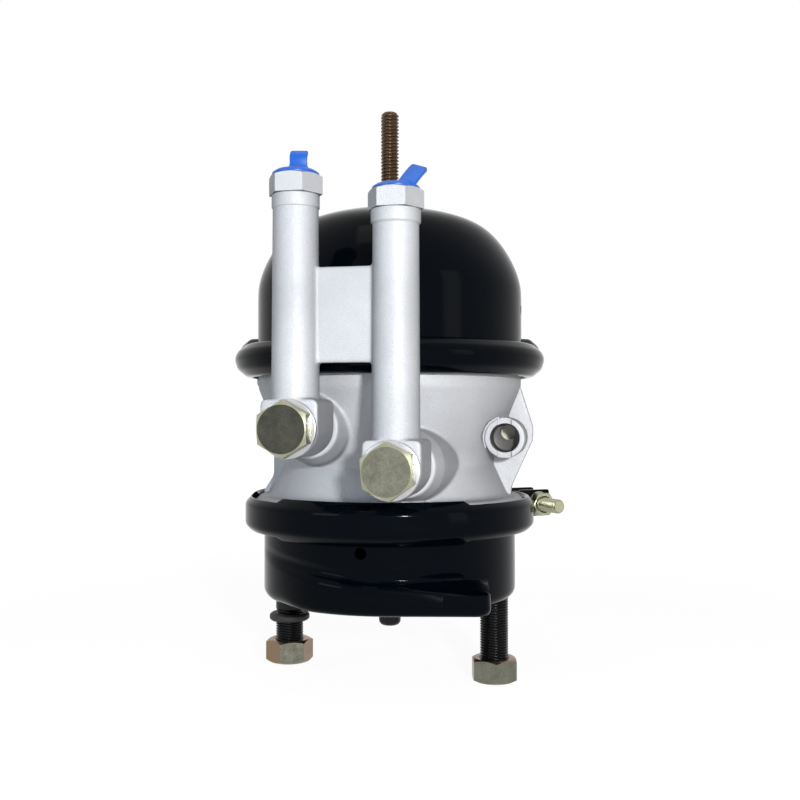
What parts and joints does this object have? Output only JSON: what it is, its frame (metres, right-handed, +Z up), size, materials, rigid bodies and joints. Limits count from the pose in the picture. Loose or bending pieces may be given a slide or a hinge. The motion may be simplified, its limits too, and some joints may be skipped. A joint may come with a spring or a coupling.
{
  "type": "air brake chamber",
  "caption": "Double-diaphragm spring brake chamber for a disc brake: black pressed shells, waisted cast body, twin capped air pipes, mounting studs and a release bolt.",
  "frame": {"origin": "centre of the mounting face, midway between the two studs, where the face meets the caliper", "axes": "+Z up the chamber axis to the release bolt; the studs stand on X and point to -Z; the two air pipes are on the -Y side, the side that the picture shows"},
  "size_m": [0.1898, 0.2102, 0.3256],
  "materials": {
    "black_paint": "gloss",
    "cast_aluminium": "satin",
    "yellow_zinc": "satin",
    "washer_steel": "satin",
    "stud_steel": "satin",
    "bronze_zinc": "satin",
    "rubber": "matte",
    "diaphragm_rubber": "matte",
    "blue_plastic": "satin",
    "inner_aluminium": "satin",
    "inner_steel": "satin",
    "push_rod_steel": "satin",
    "guide_plastic": "satin",
    "spring_paint": "satin",
    "spring_steel": "satin"
  },
  "bodies": {
    "housing": {"service_housing": "black_paint", "clamp_band": "black_paint", "clamp_bolt": "yellow_zinc", "clamp_nut": "yellow_zinc", "flange_housing": "cast_aluminium", "spring_housing": "black_paint", "crimp_ring": "black_paint", "mounting_studs": "stud_steel", "stud_nuts": "yellow_zinc", "stud_rubber_ring": "rubber", "port_pipes": "cast_aluminium", "banjo_bolts": "yellow_zinc", "banjo_washers": "washer_steel", "port_base_seals": "rubber", "release_washer": "washer_steel", "guide_bush": "guide_plastic", "plunger_seal": "rubber", "power_spring_seat": "inner_steel", "mounting_face_seal": "rubber", "push_rod_boot": "rubber", "service_diaphragm": "diaphragm_rubber", "spring_diaphragm": "diaphragm_rubber", "power_spring": "spring_paint", "plunger_spring": "spring_steel", "return_spring": "spring_steel"},
    "spring_stage": {"pressure_plate": "inner_aluminium", "plunger_plate": "inner_steel", "plunger_rod": "inner_steel", "release_bolt": "bronze_zinc"},
    "service_stage": {"service_plate": "inner_steel", "push_rod": "push_rod_steel"},
    "nut": {"release_nut": "yellow_zinc"},
    "left_cap": {"left_port_cap": "blue_plastic"},
    "right_cap": {"right_port_cap": "blue_plastic"}
  },
  "joints": [
    {"name": "parking_stroke", "type": "slide", "parent": "housing", "child": "spring_stage", "axis": [0, 0, -1], "range_m": [0, 0.048], "deforming": ["power_spring", "plunger_spring", "spring_diaphragm"]},
    {"name": "push_rod_stroke", "type": "slide", "parent": "housing", "child": "service_stage", "axis": [0, 0, -1], "range_m": [0, 0.048], "deforming": ["return_spring", "push_rod_boot", "service_diaphragm"]},
    {"name": "release_nut_turn", "type": "hinge", "parent": "housing", "child": "nut", "pos_m": [0, 0, 0.23], "axis": [0, 0, 1], "range_deg": [0, 8640.1]},
    {"name": "left_cap_pull", "type": "slide", "parent": "housing", "child": "left_cap", "axis": [0, 0, 1], "range_m": [0, 0.02]},
    {"name": "right_cap_pull", "type": "slide", "parent": "housing", "child": "right_cap", "axis": [0, 0, 1], "range_m": [0, 0.02]}
  ],
  "couplings": [
    {"joint": "push_rod_stroke", "follows": "parking_stroke", "ratio": 1},
    {"joint": "release_nut_turn", "follows": "parking_stroke", "rad_per_m": 3141.6}
  ]
}
